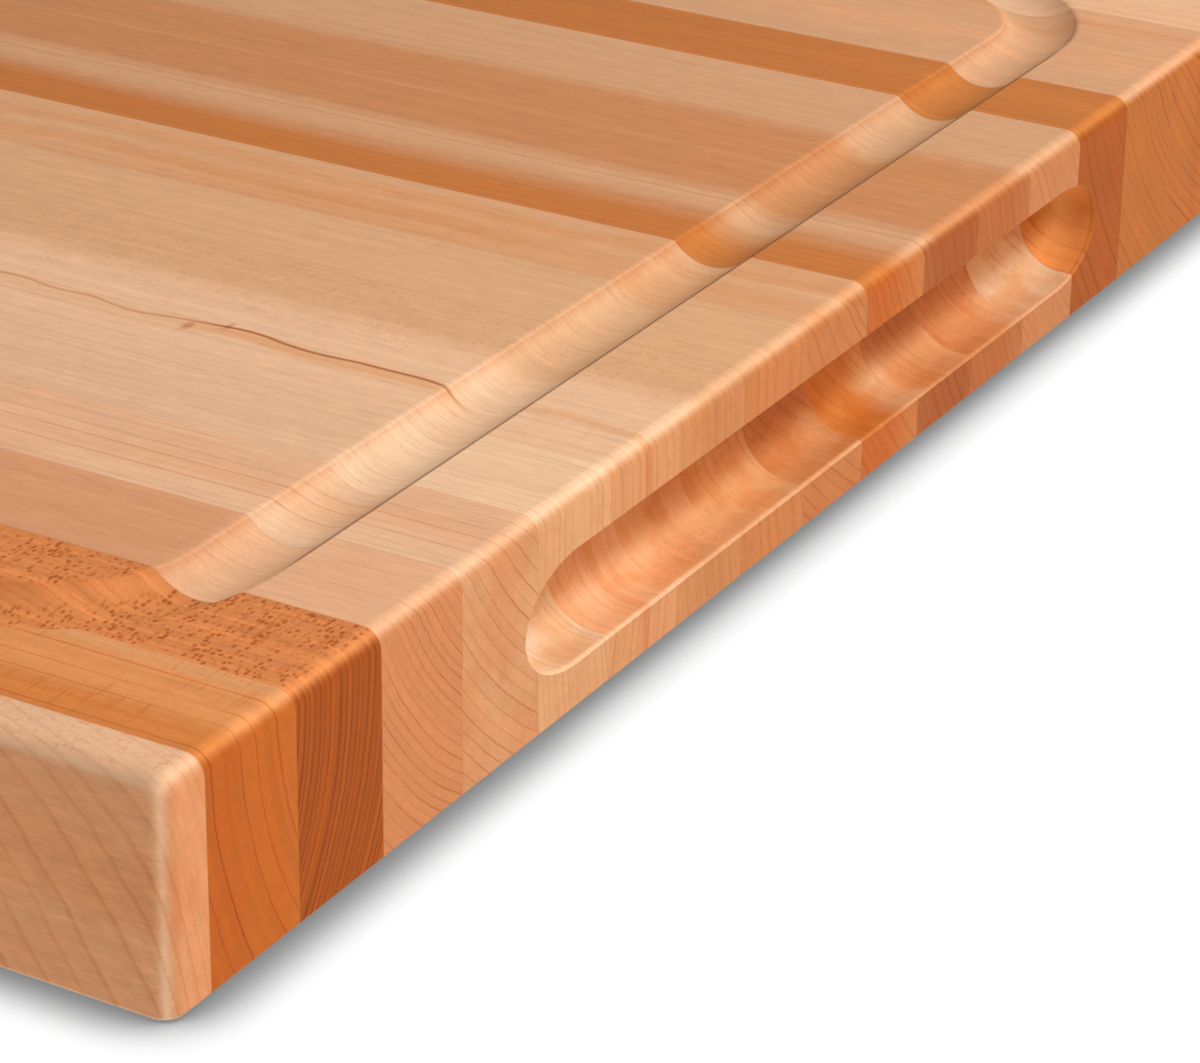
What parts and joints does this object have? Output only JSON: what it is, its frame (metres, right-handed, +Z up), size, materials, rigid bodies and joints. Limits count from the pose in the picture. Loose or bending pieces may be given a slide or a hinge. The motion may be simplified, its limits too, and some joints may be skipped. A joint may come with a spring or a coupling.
{
  "type": "cutting board",
  "caption": "Thick edge-grain maple cutting board with a juice groove round the top and a scooped finger grip in each end.",
  "frame": {"origin": "middle of the underside, on the surface the board rests on", "axes": "+X with the grain, towards one finger grip; +Y across the staves, towards the back edge; +Z up, out of the grooved face"},
  "size_m": [0.6096, 0.4572, 0.0432],
  "materials": {
    "maple_pale": "sanded and oiled",
    "maple_blush": "sanded and oiled",
    "maple_honey": "sanded and oiled",
    "maple_amber": "sanded and oiled",
    "maple_chestnut": "sanded and oiled",
    "wood_glue": "cured glue, sanded flush"
  },
  "bodies": {
    "root": {"stave_01": "maple_blush", "stave_02": "maple_amber", "stave_03": "maple_chestnut", "stave_04": "maple_blush", "stave_05": "maple_pale", "stave_06": "maple_pale", "stave_07": "maple_honey", "stave_08": "maple_honey", "stave_09": "maple_blush", "stave_10": "maple_blush", "stave_11": "maple_honey", "stave_12": "maple_honey", "stave_13": "maple_amber", "stave_14": "maple_pale", "stave_15": "maple_chestnut", "stave_16": "maple_blush", "stave_17": "maple_honey", "stave_18": "maple_pale", "stave_19": "maple_blush", "glue_line_01": "wood_glue", "glue_line_02": "wood_glue", "glue_line_03": "wood_glue", "glue_line_04": "wood_glue", "glue_line_05": "wood_glue", "glue_line_06": "wood_glue", "glue_line_07": "wood_glue", "glue_line_08": "wood_glue", "glue_line_09": "wood_glue", "glue_line_10": "wood_glue", "glue_line_11": "wood_glue", "glue_line_12": "wood_glue", "glue_line_13": "wood_glue", "glue_line_14": "wood_glue", "glue_line_15": "wood_glue", "glue_line_16": "wood_glue", "glue_line_17": "wood_glue", "glue_line_18": "wood_glue"}
  },
  "joints": []
}
